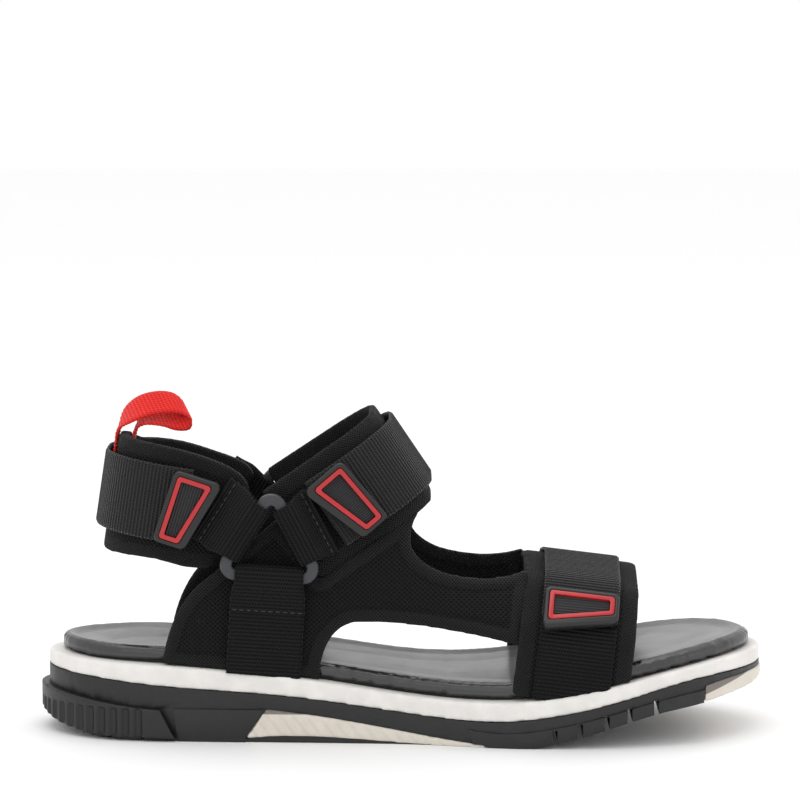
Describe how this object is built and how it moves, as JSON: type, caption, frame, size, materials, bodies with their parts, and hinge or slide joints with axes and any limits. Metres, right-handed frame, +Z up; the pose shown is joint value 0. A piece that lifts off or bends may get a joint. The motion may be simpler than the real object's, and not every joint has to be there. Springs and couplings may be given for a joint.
{
  "type": "strappy sport sandal",
  "caption": "Open sport sandal with a cupped footbed, padded mesh upper and hook-and-loop straps over the toes, the instep and round the heel.",
  "frame": {"origin": "middle of the footprint, on the ground that the tread stands on", "axes": "+X towards the toe, +Y towards the inner side of the foot, +Z up"},
  "size_m": [0.2411, 0.0949, 0.1127],
  "materials": {
    "black_rubber": "satin moulded rubber",
    "pale_rubber": "pale translucent moulded rubber",
    "white_foam": "white moulded foam, fine skin",
    "board": "pressed fibre board",
    "footbed_skin": "black grained synthetic leather",
    "mesh": "black knitted spacer mesh over padding",
    "foam": "padding foam",
    "grey_plastic": "dark grey moulded plastic",
    "red_webbing": "red ribbed webbing",
    "tab_rubber": "black moulded rubber",
    "red_trim": "red moulded trim",
    "grey_inlay": "dark grey ribbed rubber",
    "hook_and_pile": "black hook or pile fabric",
    "webbing": "black ribbed polyester webbing"
  },
  "bodies": {
    "sandal": {"arch_plate": "pale_rubber", "footbed": "footbed_skin", "front_loop_inner": "webbing", "front_loop_outer": "webbing", "heel_bumper": "black_rubber", "inner_panel": "mesh", "instep_band": "mesh", "instep_band_foam": "foam", "instep_pile_patch": "hook_and_pile", "instep_strap_base": "webbing", "lasting_board": "board", "midsole": "white_foam", "outer_panel": "mesh", "outsole": "black_rubber", "rear_loop_inner": "webbing", "rear_loop_outer": "webbing", "ring_inner": "grey_plastic", "ring_outer": "grey_plastic", "side_webbing_inner": "webbing", "side_webbing_outer": "webbing", "toe_band": "mesh", "toe_band_foam": "foam", "toe_cap": "pale_rubber", "toe_pile_patch": "hook_and_pile", "toe_side_webbing": "webbing", "toe_strap_base": "webbing"},
    "heel_cuff": {"heel_collar": "mesh", "collar_foam": "foam", "heel_pile_patch": "hook_and_pile", "heel_strap_base": "webbing", "pull_loop": "red_webbing"},
    "heel_strap": {"heel_strap_end": "webbing", "heel_hook_patch": "hook_and_pile", "heel_tab": "tab_rubber", "heel_tab_frame": "red_trim", "heel_tab_inlay": "grey_inlay"},
    "instep_strap": {"instep_strap_end": "webbing", "instep_hook_patch": "hook_and_pile", "instep_tab": "tab_rubber", "instep_tab_frame": "red_trim", "instep_tab_inlay": "grey_inlay"},
    "toe_strap": {"toe_strap_end": "webbing", "toe_hook_patch": "hook_and_pile", "toe_tab": "tab_rubber", "toe_tab_frame": "red_trim", "toe_tab_inlay": "grey_inlay"}
  },
  "joints": [
    {"name": "heel_cuff_tilt", "type": "hinge", "parent": "sandal", "child": "heel_cuff", "pos_m": [-0.052, 0, 0.0699], "axis": [0, -1, 0], "range_deg": [0, 15]},
    {"name": "heel_strap_peel", "type": "hinge", "parent": "heel_cuff", "child": "heel_strap", "pos_m": [-0.09899, -0.01467, 0.08161], "axis": [-0.1478, 0, -0.989], "range_deg": [0, 100]},
    {"name": "instep_strap_peel", "type": "hinge", "parent": "sandal", "child": "instep_strap", "pos_m": [0.00244, 0, 0.09434], "axis": [-0.5592, 0, 0.829], "range_deg": [0, 110]},
    {"name": "toe_strap_peel", "type": "hinge", "parent": "sandal", "child": "toe_strap", "pos_m": [0.05923, -0.00351, 0.05885], "axis": [-0.9925, 0, 0.1219], "range_deg": [0, 110]}
  ]
}
